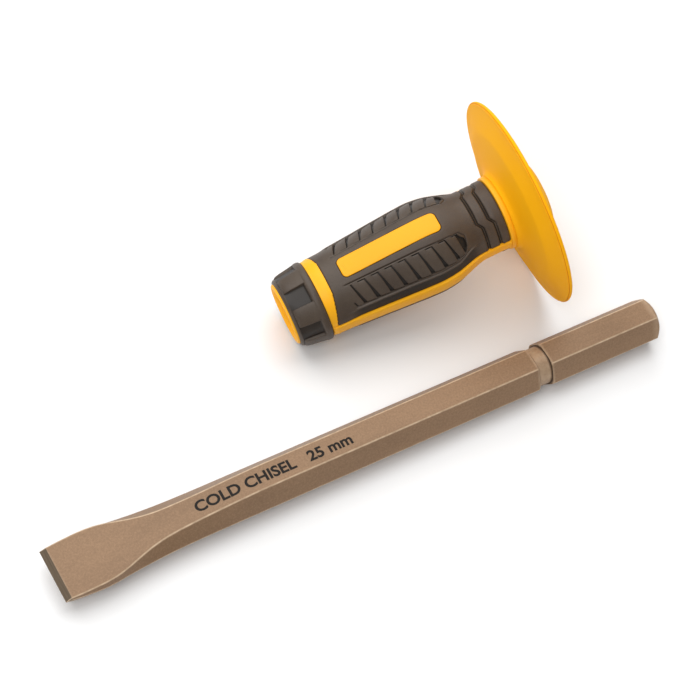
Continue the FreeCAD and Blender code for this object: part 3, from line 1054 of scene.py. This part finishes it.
@dataclass
class SoftPanel(GripPiece):
    """Soft cover over one half of the handle.  Sizes are in millimetres, angles in degrees.

    Its outer sheet is fine, and the sheet that lies against the core is coarser by the lining's number.
    """

    name: str
    node: str
    side: float
    half: float = 79.8
    front: float = 104.45
    skin_thick: float = 1.5
    label_mid: float = 53.0
    label_half: float = 24.05
    label_wide: float = 5.0
    label_round: float = 2.45
    label_depth: float = 1.0
    tread_top: float = 26.6
    tread_bottom: float = 59.6
    tread_start: float = 30.0
    tread_lean: float = 3.8
    tread_end: float = 84.3
    tread_depth: float = 1.25
    bead_angle: float = 63.0
    grooves: tuple[tuple[float, float], ...] = ((92.2, 94.1), (98.0, 99.9))
    step_a: float = 0.24
    step_t: float = 0.62
    lining: int = 6
    edge_gap: float = 0.05
    overlap: float = 0.02
    edge_round: float = 0.34
    mean_radius: float = 18.5

    def window(self, a: np.ndarray, arc: np.ndarray) -> np.ndarray:
        """Sink the label's window with a soft lip round it.

        Args:
            a: Distances from the butt.
            arc: Arc lengths from the label's middle line.

        Returns:
            Heights.
        """
        dx = np.abs(a - self.label_mid) - (self.label_half - self.label_round)
        dy = arc - (self.label_wide - self.label_round)
        gap = np.hypot(np.maximum(dx, 0), np.maximum(dy, 0)) + np.minimum(np.maximum(dx, dy), 0)
        gap = gap - self.label_round
        lip_deep, lip_at, lip_wide = 0.12, 0.2, 0.2
        return -self.label_depth * smoothstep(0.16, -0.10, gap) - lip_deep * bell(gap - lip_at, lip_wide)

    def frame_line(self, a: np.ndarray, away: np.ndarray) -> np.ndarray:
        """Cut the fine line that runs over the tread and turns down at its guard end.

        Args:
            a: Distances from the butt.
            away: Angles from the label, without sign.

        Returns:
            Heights.
        """
        deep, wide, mm_per_degree = 0.46, 0.26, 0.36
        line_at = 23.9 + 1.6 * smoothstep(60.0, 82.0, a)
        along = bell((away - line_at) * mm_per_degree, wide) * span(a, 26.6, 28.6, 82.4, 83.2)
        bend = 82.9 + 1.9 * smoothstep(25.5, 33.0, away) - 0.8 * smoothstep(38.0, 50.0, away)
        down = bell(a - bend, wide) * span(away, 25.0, 26.0, 47.0, 51.0)
        return -deep * np.maximum(along, down)

    def field(self, a: np.ndarray, away: np.ndarray) -> np.ndarray:
        """Sink the floor that the tread blocks stand on.

        Args:
            a: Distances from the butt.
            away: Angles from the label, without sign.

        Returns:
            Heights.
        """
        share = np.clip((away - self.tread_top) / (self.tread_bottom - self.tread_top), 0.0, 1.0)
        start = self.tread_start + (self.tread_lean - 0.9) * share
        end = self.tread_end - 2.4 * smoothstep(38.0, 27.0, away) - 1.8 * smoothstep(46.0, 60.0, away)
        top, bottom = self.tread_top, self.tread_bottom - tread_narrowing(a)
        wall, end_wall, dent_deep, dent_wide = 0.45, 0.16, 0.6, 0.42
        inside = span(away, top - wall, top + wall, bottom - wall, bottom + wall)
        inside = inside * span(a, start - end_wall, start + end_wall, end - end_wall, end + end_wall)
        dent_at = 28.7 + 0.12 * (away - 52.0)
        dent = bell(a - dent_at, dent_wide) * span(away, 51.0, 53.5, 59.0, 61.0)
        return -self.tread_depth * inside - dent_deep * dent

    def bead(self, a: np.ndarray, away: np.ndarray, skin: np.ndarray) -> np.ndarray:
        """Raise the thin bead under the tread, groove it above and set the side wall back below it.

        Args:
            a: Distances from the butt.
            away: Angles from the label, without sign.
            skin: Radii of the smooth cover.

        Returns:
            Heights.
        """
        bead_at = self.bead_angle + 1.6 * smoothstep(50.0, 76.0, a) - 8.5 * smoothstep(78.0, 89.0, a)
        off = (away - bead_at) * np.pi / 180.0 * skin
        proud, set_back, groove_off = 0.34, 0.5, 0.85
        bead = bell(off, 0.40) * span(a, 25.0, 30.0, 86.0, 90.5)
        groove = bell(off + groove_off, 0.34) * span(a, 27.0, 32.0, 84.0, 88.5)
        wall = smoothstep(0.15, 1.0, off) * span(a, 22.0, 32.0, 84.0, 94.0)
        return proud * bead - proud * groove - set_back * wall

    def neck(self, a: np.ndarray, away: np.ndarray) -> np.ndarray:
        """Cut the two stepped grooves round the neck, each a pair of fine lines with a land between.

        Args:
            a: Distances from the butt.
            away: Angles from the label, without sign.

        Returns:
            Heights.
        """
        height = 0.0 * a
        line_deep, line_off, line_wide, land_deep, ring_proud = 0.62, 0.52, 0.27, 0.22, 0.22
        for near_label, near_side in self.grooves:
            at = near_label + (near_side - near_label) * np.clip((away - 27.0) / 9.0, 0.0, 1.0)
            d = a - at
            for off in (line_off, -line_off):
                height = height - line_deep * bell(d - off, line_wide)
            height = height - land_deep * smoothstep(0.6, 0.3, np.abs(d))
        return height + ring_proud * span(a, 99.0, 101.0, 103.6, 104.6)

    def relief(self, a: np.ndarray, t: np.ndarray) -> np.ndarray:
        """Height of the moulded detail over the smooth cover.

        Args:
            a: Distances from the butt.
            t: Angles from the label.

        Returns:
            Heights, negative below the cover.
        """
        skin = follow(SKIN, a)
        away = np.abs(t)
        height = self.window(a, np.radians(away) * skin) + self.frame_line(a, away)
        return height + self.field(a, away) + self.bead(a, away, skin) + self.neck(a, away)

    def build(self) -> None:
        """Make the panel as a closed shell."""
        t = np.linspace(-self.half, self.half, int(2.0 * self.half / self.step_t) + 1)
        back = panel_back(t)[None, :] + self.edge_gap
        u = np.linspace(0.0, 1.0, int((self.front - back.min()) / self.step_a) + 1)
        a = back + (self.front - back) * u[:, None]
        tt = t[None, :] + 0.0 * a
        edge_t = (self.half - np.abs(tt)) * np.pi / 180.0 * self.mean_radius
        edge_a = np.minimum(a - back, self.front - a)
        near_t, near_a = 1.0 - np.clip(edge_t / 0.7, 0, 1), 1.0 - np.clip(edge_a / 0.6, 0, 1)
        roll = self.edge_round * (near_t ** 2 + near_a ** 2)
        relief = self.relief(a, tt)
        outer = self.frame.place(a, tt + self.side, follow(SKIN, a) + relief - roll)
        kept = np.ix_(kept_lines(a.shape[0], self.lining), kept_lines(a.shape[1], self.lining))
        inner_radius = follow(SKIN, a[kept]) - self.skin_thick - self.overlap
        inner = self.frame.place(a[kept], tt[kept] + self.side, inner_radius)
        panel = make_piece(self.name, np.vstack([outer, inner]), closed_patch(*a.shape, self.lining))
        # The sunk attribute is a painted shade in the label window, the tread field and the grooves.
        sunk = smoothstep(0.12, 0.6, -relief).ravel()
        add_attribute(panel, "sunk", np.concatenate([sunk, np.zeros(len(inner))]))
        dress(panel, self.finishes.rubber, "soft_dark", 50.0, self.node)


@dataclass
class LabelPad(GripPiece):
    """Smooth blank pad in a panel's window, rounded at its edge.  Sizes are in millimetres."""

    name: str
    node: str
    side: float
    middle: float = 53.0
    half: float = 23.9
    wide: float = 4.85
    corner: float = 2.3
    proud: float = 0.12
    sink: float = 1.15

    def outline(self, inset: float, steps: int = 14, straight: int = 60) -> np.ndarray:
        """Draw the rounded rectangle, drawn in by an inset.

        Args:
            inset: How far inside the outer edge.
            steps: Points round each corner.
            straight: Points along each long side.

        Returns:
            Distance from the butt and arc length from the label's middle line.
        """
        radius = max(self.corner - inset, 0.05)
        reach, rise = self.half - self.corner, self.wide - self.corner
        out: list[tuple[float, float]] = []
        for sx, sy, begin in ((1, 1, 0.0), (-1, 1, 90.0), (-1, -1, 180.0), (1, -1, 270.0)):
            for angle in np.radians(np.linspace(begin, begin + 90.0, steps)):
                out.append((sx * reach + radius * math.cos(angle), sy * rise + radius * math.sin(angle)))
            if sx == sy:
                out += [(x, out[-1][1]) for x in np.linspace(sx * reach, -sx * reach, straight)[1:-1]]
        return np.array(out)

    def build(self) -> None:
        """Make the pad."""
        rings = [(0.0, -self.sink), (0.0, -0.12), (0.05, 0.0), (0.16, self.proud - 0.03)]
        rings += [(inset, self.proud) for inset in (0.32, 0.8, 1.5, 2.2)]
        points = []
        for inset, height in rings:
            line = self.outline(inset)
            a = self.middle + line[:, 0]
            skin = follow(SKIN, a)
            points.append(self.frame.place(a, self.side + np.degrees(line[:, 1] / skin), skin + height))
        count = len(points[0])
        faces = grid_faces(len(rings), count, True)[:, ::-1].tolist()
        for row, height in ((len(rings) - 1, self.proud), (0, -self.sink)):
            a = self.middle + self.outline(rings[row][0])[:, 0]
            spine = len(points) * count
            points.append(self.frame.place(a, self.side + 0.0 * a, follow(SKIN, a) + height))
            for i in range(count):
                j = (i + 1) % count
                faces.append([row * count + j, row * count + i, spine + i, spine + j])
        pad = make_piece(self.name, np.vstack(points), faces)
        tidy_shell(pad)
        dress(pad, self.finishes.label, "label_yellow", 50.0, self.node)


# ------------------------------------------------------------------ what repeats: geometry nodes


class RepeatTree(NodeBuilder):
    """A geometry node tree that repeats one block and bakes the result."""

    def __init__(self, name: str, count: int, numbers: dict[str, float]) -> None:
        """Start the tree with its named inputs.

        Args:
            name: The tree's name.
            count: Starting number of blocks.
            numbers: Its other number inputs, with their starting values.
        """
        super().__init__(bpy.data.node_groups.new(name, "GeometryNodeTree"))
        self.tree.interface.new_socket("Geometry", in_out="OUTPUT", socket_type="NodeSocketGeometry")
        self.sockets: dict[str, str] = {}
        self.ask("Count", "NodeSocketInt", count)
        for key, value in numbers.items():
            self.ask(key, "NodeSocketFloat", value)
        self.ask("Block", "NodeSocketObject")
        self.ask("Material", "NodeSocketMaterial")
        self.inputs = self.node("NodeGroupInput")

    def ask(self, name: str, kind: str, value: float | None = None) -> None:
        """Add a named input.

        Args:
            name: Its name.
            kind: Blender's name for the socket type.
            value: Its starting value, if it is a number.
        """
        socket = self.tree.interface.new_socket(name, in_out="INPUT", socket_type=kind)
        if value is not None:
            socket.default_value = value
        self.sockets[name] = socket.identifier

    def given(self, name: str) -> bpy.types.NodeSocket:
        """Read a named input.

        Args:
            name: Its name.

        Returns:
            Its value in the tree.
        """
        return self.inputs.outputs[name]

    def vector(self, **parts: Any) -> bpy.types.NodeSocket:
        """Join numbers into a vector.

        Args:
            parts: X, Y and Z, as numbers or sockets.

        Returns:
            The vector.
        """
        return self.node("ShaderNodeCombineXYZ", parts).outputs[0]

    def close(self, points: bpy.types.Node, **places: bpy.types.NodeSocket) -> None:
        """End the tree: put blocks on points, realise them and set their material.

        Args:
            points: The node whose mesh gives the points.
            places: The Scale or Rotation of each block.
        """
        block = self.node("GeometryNodeObjectInfo", {"Object": self.given("Block")})
        spots = self.node("GeometryNodeInstanceOnPoints", {
            "Points": points.outputs["Mesh"], "Instance": block.outputs["Geometry"], **places})
        real = self.node("GeometryNodeRealizeInstances", {"Geometry": spots.outputs["Instances"]})
        dressed = self.node("GeometryNodeSetMaterial", {
            "Geometry": real.outputs["Geometry"], "Material": self.given("Material")})
        self.node("NodeGroupOutput", {0: dressed.outputs["Geometry"]})

    def bake(self, name: str, block: Shape, material: bpy.types.Material, numbers: dict[str, float]) -> Shape:
        """Run the tree once and keep its result as plain points and faces.

        Args:
            name: The result's name.
            block: The corners and faces of one block.
            material: Its finish.
            numbers: The tree's number inputs by name.

        Returns:
            Points and faces.
        """
        source = make_piece(name + "_block", *block)
        holder = bpy.data.objects.new(name + "_holder", bpy.data.meshes.new(name + "_holder"))
        bpy.context.scene.collection.objects.link(holder)
        modifier = holder.modifiers.new("repeat", "NODES")
        modifier.node_group = self.tree
        for key, value in {**numbers, "Block": source, "Material": material}.items():
            modifier[self.sockets[key]] = value
        holder.update_tag()
        shape = take_mesh(holder)
        bpy.data.objects.remove(source)
        return shape


def line_tree() -> RepeatTree:
    """Make the tree that repeats a block along a straight line, each a hair different in height.

    Returns:
        The tree, with inputs Count, Start, Pitch, Height jitter, Block and Material.
    """
    made = RepeatTree("repeat_along_line", 9, {"Start": 0.0, "Pitch": 1.0, "Height jitter": 0.0})
    seed = 7
    start, pitch = made.vector(X=made.given("Start")), made.vector(X=made.given("Pitch"))
    line = made.node("GeometryNodeMeshLine", {"Count": made.given("Count"), "Start Location": start,
                                              "Offset": pitch}, mode="OFFSET")
    random = made.node("FunctionNodeRandomValue", {"Seed": seed}, data_type="FLOAT")
    limits = [s for s in random.inputs if s.type == "VALUE" and s.enabled]
    for operation, limit in zip(("SUBTRACT", "ADD"), limits):
        made.join(made.math(operation, 1.0, made.given("Height jitter")), limit)
    height = next(s for s in random.outputs if s.type == "VALUE" and s.enabled)
    made.close(line, Scale=made.vector(X=1.0, Y=1.0, Z=height))
    return made


def round_tree() -> RepeatTree:
    """Make the tree that repeats a block round the Z axis.

    Returns:
        The tree, with inputs Count, First turn, Block and Material.
    """
    made = RepeatTree("repeat_round_axis", 6, {"First turn": 0.0})
    count = made.given("Count")
    spots = made.node("GeometryNodeMeshLine", {"Count": count, "Offset": (0.0, 0.0, 0.0)}, mode="OFFSET")
    index = made.node("GeometryNodeInputIndex").outputs[0]
    step = made.math("DIVIDE", 2.0 * math.pi, count)
    turn = made.math("MULTIPLY_ADD", index, step, made.given("First turn"))
    made.close(spots, Rotation=made.vector(Z=turn))
    return made


@dataclass
class TreadTrack(GripPiece):
    """A row of overlapping tread blocks in one sunk field.  Sizes are in millimetres, angles in degrees."""

    name: str
    side: float
    way: float
    count: int = 8
    start: float = 30.45
    pitch: float = 6.48
    near: float = 25.9
    shadow_line: float = 27.5
    far: float = 59.2
    lean: float = 3.8
    narrow_gap: float = 0.5
    wide_gap: float = 1.9
    floor: float = 1.25
    base: float = 0.30
    across: float = 11.5
    jitter: float = 0.03
    squeeze_from: float = 79.0
    squeeze: float = 0.62

    def block(self) -> Shape:
        """Draw one block flat: along the grip, across the field and up from the field's floor.

        Its butt side runs out flush with the cover, and its guard side ends short of it in a fine line.

        Returns:
            Corners and faces.
        """
        v, u = np.meshgrid(
            (0.0, 0.012, 0.035, 0.08, 0.14, 0.25, 0.38, 0.5, 0.62, 0.75, 0.88, 0.95, 0.985, 1.0),
            (0.0, 0.02, 0.055, 0.2, 0.4, 0.5, 0.54, 0.6, 0.75, 0.88, 0.95, 0.985, 1.0))
        hook = smoothstep(0.48, 0.56, u)
        low, high = self.floor - 0.55, self.floor - 0.02
        rise = low + (high - low) * (0.35 + 0.65 * u)
        flush = self.floor - 0.05
        rise = rise + (flush - rise) * (1.0 - smoothstep(0.0, 0.5, v)) * (1.0 - 0.55 * hook)
        edge = np.minimum(np.minimum(u, 1.0 - u) * self.pitch, (1.0 - v) * self.across)
        edge = np.where(hook > 0.5, np.minimum(edge, v * self.across), edge)
        rise = rise - 0.16 * (1.0 - np.clip(edge / 0.3, 0.0, 1.0)) ** 2
        gap = self.narrow_gap + (self.wide_gap - self.narrow_gap) * v ** 1.3
        top = self.near + (self.shadow_line - self.near) * hook
        x = u * (self.pitch - gap) + self.lean * v
        y = top + (self.far - top) * v
        upper = np.stack([x, y, rise], -1).reshape(-1, 3)
        lower = np.stack([x, y, 0.0 * rise - self.base], -1).reshape(-1, 3)
        return np.vstack([upper, lower]), closed_patch(*u.shape)

    def build(self, tree: RepeatTree) -> None:
        """Repeat the block and wrap the row onto the handle.

        Args:
            tree: The tree that repeats blocks along a line.
        """
        co, faces = tree.bake(self.name, self.block(), self.finishes.rubber, {
            "Count": self.count, "Start": self.start, "Pitch": self.pitch, "Height jitter": self.jitter})
        a, t, lift = co.T
        a = np.where(a > self.squeeze_from, self.squeeze_from + (a - self.squeeze_from) * self.squeeze, a)
        t = t - tread_narrowing(a) * smoothstep(40.0, 60.0, t)
        wrapped = self.frame.place(a, self.side + self.way * t, follow(SKIN, a) - self.floor + lift)
        piece = make_piece(self.name, wrapped, faces)
        # The sunk attribute is a painted shade on the low parts of each block.
        add_attribute(piece, "sunk", smoothstep(0.35 * self.floor, 0.0, lift))
        tidy_shell(piece)
        dress(piece, self.finishes.rubber, "soft_dark", 38.0)


@dataclass
class ButtCollar(GripPiece):
    """Soft collar round the butt with raised blocks between sunk flats.  Sizes are in millimetres."""

    profile: Profile = (
        (1.14, 14.7), (1.25, 15.2), (1.6, 15.7), (2.2, 16.0), (2.6, 15.9), (3.0, 15.8), (5.5, 16.0),
        (8.0, 16.25), (11.4, 16.6), (11.9, 16.7), (12.15, 16.9), (12.3, 17.8), (12.6, 18.25), (13.1, 18.5),
        (13.7, 18.6), (14.5, 18.62), (15.2, 18.45), (15.7, 18.1), (16.0, 17.5), (16.05, 13.12), (1.14, 13.12))
    block_start: float = 2.6
    block_end: float = 12.7
    block_half: float = 15.0
    block_top: Profile = ((2.6, 16.3), (4.2, 17.0), (9.0, 17.72), (12.1, 18.2), (12.7, 18.3))
    block_floor: float = 15.4
    half_arc: float = 4.6
    first_turn: float = -20.5
    blocks: int = 6

    def block(self) -> Shape:
        """Draw one raised block in the grip's own frame, in millimetres.

        Returns:
            Corners and faces.
        """
        t, u = np.meshgrid(
            (-1.0, -0.985, -0.96, -0.9, -0.7, -0.5, -0.25, 0.0, 0.25, 0.5, 0.7, 0.9, 0.96, 0.985, 1.0),
            (0.0, 0.025, 0.06, 0.12, 0.3, 0.5, 0.7, 0.88, 1.0))
        a = self.block_start + (self.block_end - self.block_start) * u
        side, back = (1.0 - np.abs(t)) * self.half_arc / 0.3, u / 0.08
        outer = follow(self.block_top, a)
        outer = outer - 0.26 * (1.0 - np.clip(side, 0, 1)) ** 2 - 0.25 * (1.0 - np.clip(back, 0, 1)) ** 2
        angle = np.radians(t * self.block_half)
        sheets = [np.stack([r * np.cos(angle), r * np.sin(angle), a], -1).reshape(-1, 3)
                  for r in (outer, self.block_floor)]
        return np.vstack(sheets), closed_patch(*u.shape)

    def build(self, tree: RepeatTree) -> None:
        """Make the ring and its blocks.

        Args:
            tree: The tree that repeats a block round the axis.
        """
        columns = 180
        ring = self.revolve("collar_ring", self.profile, columns)
        # Painted shade on the collar ring's sunk flats between the blocks.
        recess_painted_shade = [0.9 if 2.5 < a < 12.2 and r > 15.0 else 0.0 for a, r in self.profile]
        add_attribute(ring, "sunk", np.repeat(recess_painted_shade, columns))
        dress(ring, self.finishes.rubber, "soft_dark", 40.0, "butt_collar")
        co, faces = tree.bake("collar_blocks", self.block(), self.finishes.rubber, {
            "Count": self.blocks, "First turn": math.radians(self.first_turn)})
        x, y, a = co.T
        placed = self.frame.place(a, np.degrees(np.arctan2(y, x)), np.hypot(x, y))
        piece = make_piece("collar_blocks", placed, faces)
        tidy_shell(piece)
        dress(piece, self.finishes.rubber, "soft_dark", 38.0)


@dataclass
class HandGuard(GripPiece):
    """Round guard: shallow dish, round rim with a parting groove, domed boss.  Sizes are in millimetres."""

    back: Profile = (
        (107.02, 17.4), (107.12, 17.7), (108.0, 18.1), (108.8, 18.8), (109.4, 20.0), (110.1, 22.2),
        (110.8, 25.5), (111.4, 29.5), (111.8, 33.0), (112.15, 35.3), (113.7, 40.0), (115.1, 44.8),
        (115.5, 46.9))
    front: Profile = (
        (117.73, 46.0), (117.6, 42.5), (117.65, 38.0), (118.2, 32.0), (119.7, 27.0), (122.1, 23.0),
        (124.0, 20.0), (125.25, 17.2), (125.92, 15.95), (126.3, 15.1), (126.39, 14.3))
    inside: Profile = (
        (126.39, 13.1), (126.0, 12.2), (125.2, 11.62), (119.05, 11.6), (119.05, 15.64), (107.02, 15.64))
    lip_plane: float = 116.65
    lip_centre: float = 48.1
    lip_round: float = 1.09
    seam_turn: float = 134.0
    seam_half: float = 20.0
    seam_depth: float = 0.28
    columns: int = 256

    def lip(self) -> list[tuple[float, float]]:
        """Draw the round rim with the fine parting groove where its two mould halves meet.

        Returns:
            Distance and radius of each point, from the handle side round to the struck end.
        """
        turns = np.concatenate([np.linspace(152.0, self.seam_turn + self.seam_half, 4),
                                self.seam_turn + self.seam_half * np.array([0.55, 0.25, 0.0, -0.25, -0.55]),
                                np.linspace(self.seam_turn - self.seam_half, -12.0, 16)])
        sunk = self.seam_depth * smoothstep(1.0, 0.15, np.abs(turns - self.seam_turn) / self.seam_half)
        radius, turn = self.lip_round - sunk, np.radians(turns)
        return list(zip((self.lip_plane + radius * np.cos(turn)).tolist(),
                        (self.lip_centre + radius * np.sin(turn)).tolist()))

    def build(self) -> None:
        """Make the guard."""
        back, lip, front = self.smooth(self.back, 60), self.lip(), self.smooth(self.front, 60)
        profile = back + lip + front + list(self.inside)
        piece = self.revolve("hand_guard", profile, self.columns)
        # The sunk attribute is a painted shade along the rim's parting groove.
        floor, fade = self.lip_round - self.seam_depth, 0.7 * self.seam_depth
        sunk = [max(0.0, 1.0 - (math.hypot(a - self.lip_plane, r - self.lip_centre) - floor) / fade)
                for a, r in lip]
        shade = np.zeros(len(profile))
        shade[len(back):len(back) + len(lip)] = sunk
        add_attribute(piece, "sunk", np.repeat(shade, self.columns))
        dress(piece, self.finishes.guard, "guard_yellow", 44.0, "guard")

    @staticmethod
    def smooth(points: Sequence[tuple[float, float]], count: int) -> list[tuple[float, float]]:
        """Run a smooth curve through profile points, spaced by length.

        Args:
            points: The profile points.
            count: Points wanted.

        Returns:
            The finer profile.
        """
        p = np.array(points)
        run = np.concatenate([[0.0], np.cumsum(np.hypot(*np.diff(p, axis=0).T))])
        at = np.linspace(0.0, run[-1], count)
        a, r = (follow(list(zip(run, column)), at).tolist() for column in p.T)
        return list(zip(a, r))


@dataclass
class SnapRing(GripPiece):
    """Elastic ring in the hub that holds the bar by its neck.  Sizes are in millimetres."""

    start: float = 109.7
    end: float = 115.7
    inner: float = 9.05
    outer: float = 14.1
    lip_round: float = 1.5
    corner: float = 0.3

    def build(self) -> None:
        """Make the ring."""
        middle, half = (self.start + self.end) / 2.0, (self.end - self.start) / 2.0
        c, r, crown = self.corner, self.outer, self.inner + self.lip_round
        lip = [(middle + half * math.cos(t), crown - self.lip_round * math.sin(t))
               for t in np.linspace(0.0, math.pi, 15)]
        profile = [(self.start, r - c), (self.start + c, r), (self.end - c, r), (self.end, r - c)] + lip
        ring = self.revolve("snap_ring", profile, 120)
        dress(ring, self.finishes.ring, "ring_black", 50.0, "retaining_ring")


# ------------------------------------------------------------------ studio


@dataclass
class Studio:
    """Pale surface, soft lights and the camera.  Lengths are in metres, angles in degrees."""

    turn: float = -43.871
    rise: float = 57.257
    roll: float = 16.456
    distance: float = 0.931225
    aim: tuple[float, float] = (0.019477, 0.047226)
    lens: float = 106.876
    sensor: float = 36.0
    sky: float = 0.26
    surface_half: float = 6.0
    surface_drop: float = 0.0002

    def camera(self) -> None:
        """Make the camera."""
        a, e, r = (math.radians(v) for v in (self.turn, self.rise, self.roll))
        back = Vector((math.sin(a) * math.cos(e), -math.cos(a) * math.cos(e), math.sin(e)))
        right = Vector((math.cos(a), math.sin(a), 0.0))
        up = back.cross(right)
        side = right * math.cos(r) + up * math.sin(r)
        over = -right * math.sin(r) + up * math.cos(r)
        data = bpy.data.cameras.new("camera")
        data.lens, data.sensor_width, data.clip_end = self.lens, self.sensor, 50.0
        camera = bpy.data.objects.new("camera", data)
        place = Matrix((side, over, back)).transposed().to_4x4()
        place.translation = Vector((*self.aim, 0.0)) + back * self.distance
        camera.matrix_world = place
        bpy.context.scene.collection.objects.link(camera)
        bpy.context.scene.camera = camera

    def softbox(self, name: str, place: tuple[float, float, float], aim: tuple[float, float, float],
                size: float, power: float) -> None:
        """Hang one square area light.

        Args:
            name: The light's name.
            place: Where it hangs.
            aim: Where it points.
            size: Its side length.
            power: Its power in watts.
        """
        data = bpy.data.lights.new(name, "AREA")
        data.size, data.energy = size, power
        light = bpy.data.objects.new(name, data)
        way = Vector(aim) - Vector(place)
        light.matrix_world = Matrix.Translation(place) @ way.to_track_quat("-Z", "Y").to_matrix().to_4x4()
        bpy.context.scene.collection.objects.link(light)

    def build(self) -> None:
        """Make the surface, the lights and the camera."""
        size, level = self.surface_half, -self.surface_drop
        points = np.array([(x * size, y * size, level) for x, y in ((-1, -1), (1, -1), (1, 1), (-1, 1))])
        floor = make_piece("surface", points, [[0, 1, 2, 3]], False)
        floor.data.materials.append(StudioSurface().build())
        world = bpy.data.worlds.new("studio_world")
        bpy.context.scene.world = world
        world.use_nodes = True
        sky = world.node_tree.nodes["Background"]
        sky.inputs["Color"].default_value = (1.0, 1.0, 1.0, 1.0)
        sky.inputs["Strength"].default_value = self.sky
        self.softbox("overhead", (0.05, 0.75, 1.38), (0.0, 0.03, 0.0), 2.0, 31.0)
        self.softbox("guard_side_fill", (-0.78, -0.45, 1.22), (0.05, 0.03, 0.02), 0.7, 9.0)
        view = bpy.context.scene.view_settings
        view.view_transform, view.look = "Standard", "None"
        self.camera()


# ------------------------------------------------------------------ assembly


def main() -> None:
    """Build the tool around the frame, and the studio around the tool."""
    logging.basicConfig(level=logging.INFO, format="%(name)s: %(message)s")
    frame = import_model()
    finishes = Finishes()
    ChiselBar().build(finishes)
    grip = GripFrame.from_record(frame["record"], frame["nodes"])
    GripCore(grip, finishes).build()
    for name, node, pad_name, pad_node, side in (
            ("front_cover", "front_panel", "front_label", "front_label_pad", 0.0),
            ("rear_cover", "rear_panel", "rear_label", "rear_label_pad", 180.0)):
        SoftPanel(grip, finishes, name, node, side).build()
        LabelPad(grip, finishes, pad_name, pad_node, side).build()
    along = line_tree()
    for name, side, way in (("front_lower_tread", 0.0, -1.0), ("front_upper_tread", 0.0, 1.0),
                            ("rear_lower_tread", 180.0, -1.0), ("rear_upper_tread", 180.0, 1.0)):
        TreadTrack(grip, finishes, name, side, way).build(along)
    ButtCollar(grip, finishes).build(round_tree())
    HandGuard(grip, finishes).build()
    SnapRing(grip, finishes).build()
    Studio().build()


if __name__ == "__main__":
    main()
